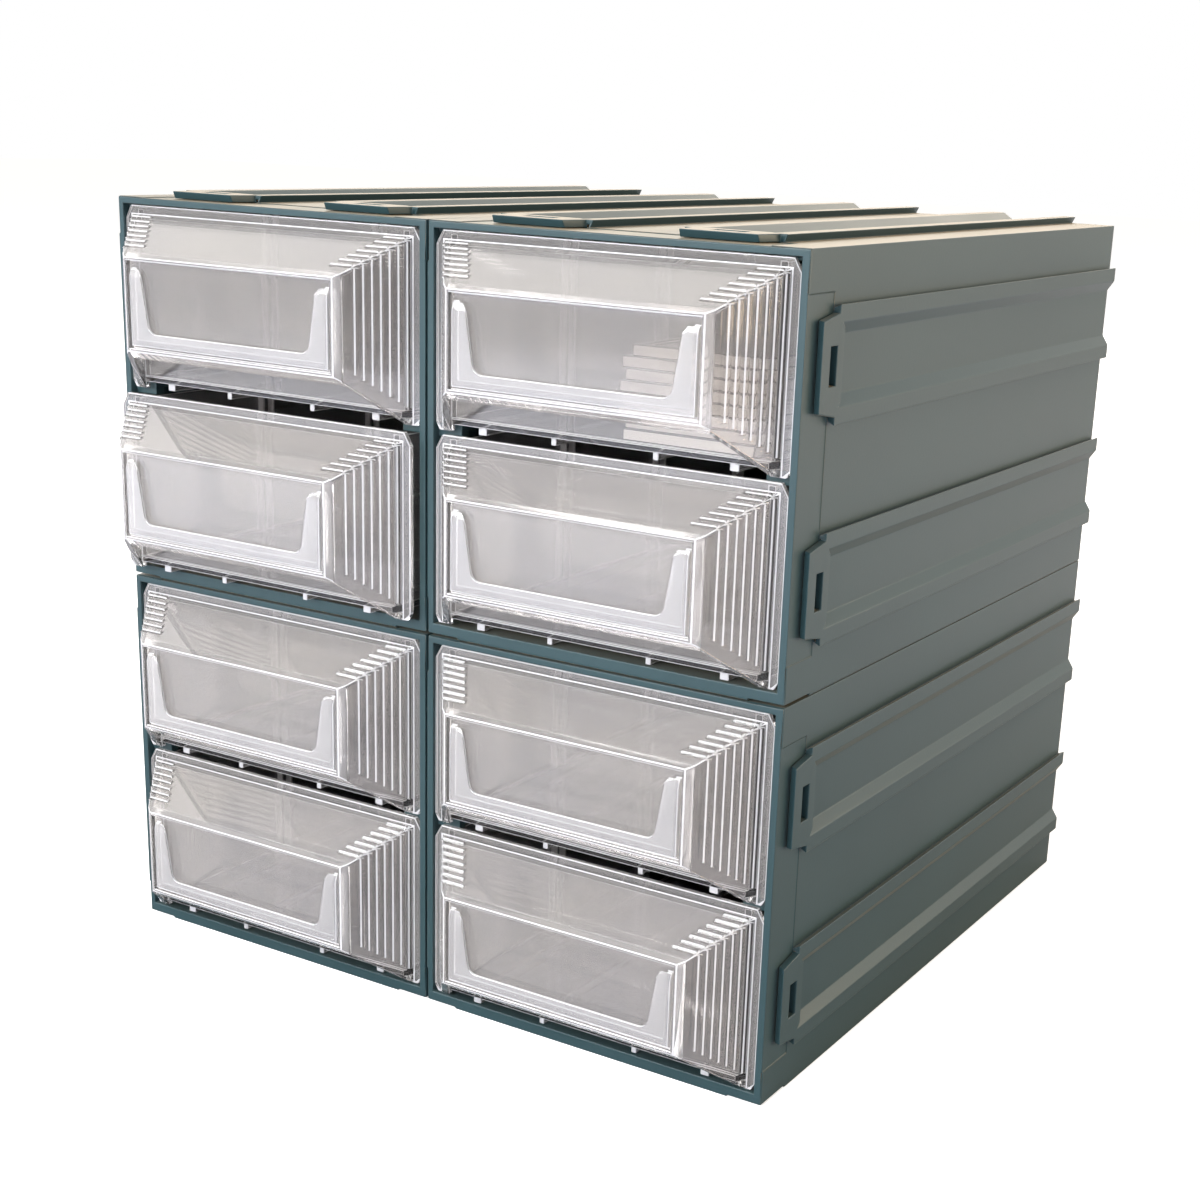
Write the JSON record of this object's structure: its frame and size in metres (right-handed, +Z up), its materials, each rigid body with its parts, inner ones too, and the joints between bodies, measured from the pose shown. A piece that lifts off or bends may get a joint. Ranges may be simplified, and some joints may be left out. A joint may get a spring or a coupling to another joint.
{
  "type": "small parts drawer organizer",
  "caption": "Block of interlocking plastic cabinets with clear pull-out drawers, hooded finger pulls with label frames, and loose divider plates.",
  "frame": {"origin": "bottom centre of the object's own box, on the surface it stands on, with one drawer standing a little open", "axes": "+Z up, -Y out of the drawers' fronts, +X to the right as seen from the front"},
  "size_m": [0.2258, 0.2384, 0.2248],
  "materials": {
    "cabinet_plastic": "moulded high-impact polystyrene, fine satin",
    "drawer_plastic": "moulded clear polystyrene with a slight haze, glossy",
    "divider_plastic": "moulded clear polystyrene, glossy"
  },
  "bodies": {
    "cabinets": {"cabinet_left_bottom": "cabinet_plastic", "cabinet_left_top": "cabinet_plastic", "cabinet_right_bottom": "cabinet_plastic", "cabinet_right_top": "cabinet_plastic"},
    "drawer_left_1": {"drawer_left_1": "drawer_plastic"},
    "drawer_left_2": {"drawer_left_2": "drawer_plastic"},
    "drawer_left_3": {"drawer_left_3": "drawer_plastic"},
    "drawer_left_4": {"drawer_left_4": "drawer_plastic"},
    "drawer_right_1": {"drawer_right_1": "drawer_plastic", "divider_plate_1": "divider_plastic", "divider_plate_2": "divider_plastic", "divider_plate_3": "divider_plastic", "divider_plate_4": "divider_plastic", "divider_plate_5": "divider_plastic", "divider_plate_6": "divider_plastic", "divider_plate_7": "divider_plastic", "divider_plate_8": "divider_plastic"},
    "drawer_right_2": {"drawer_right_2": "drawer_plastic"},
    "drawer_right_3": {"drawer_right_3": "drawer_plastic"},
    "drawer_right_4": {"drawer_right_4": "drawer_plastic"}
  },
  "joints": [
    {"name": "slide_left_1", "type": "slide", "parent": "cabinets", "child": "drawer_left_1", "axis": [0, -1, 0], "range_m": [0, 0.15627]},
    {"name": "slide_left_2", "type": "slide", "parent": "cabinets", "child": "drawer_left_2", "axis": [0, -1, 0], "range_m": [-0.0045, 0.15177]},
    {"name": "slide_left_3", "type": "slide", "parent": "cabinets", "child": "drawer_left_3", "axis": [0, -1, 0], "range_m": [0, 0.15627]},
    {"name": "slide_left_4", "type": "slide", "parent": "cabinets", "child": "drawer_left_4", "axis": [0, -1, 0], "range_m": [0, 0.15627]},
    {"name": "slide_right_1", "type": "slide", "parent": "cabinets", "child": "drawer_right_1", "axis": [0, -1, 0], "range_m": [0, 0.15627]},
    {"name": "slide_right_2", "type": "slide", "parent": "cabinets", "child": "drawer_right_2", "axis": [0, -1, 0], "range_m": [0, 0.15627]},
    {"name": "slide_right_3", "type": "slide", "parent": "cabinets", "child": "drawer_right_3", "axis": [0, -1, 0], "range_m": [0, 0.15627]},
    {"name": "slide_right_4", "type": "slide", "parent": "cabinets", "child": "drawer_right_4", "axis": [0, -1, 0], "range_m": [0, 0.15627]}
  ]
}
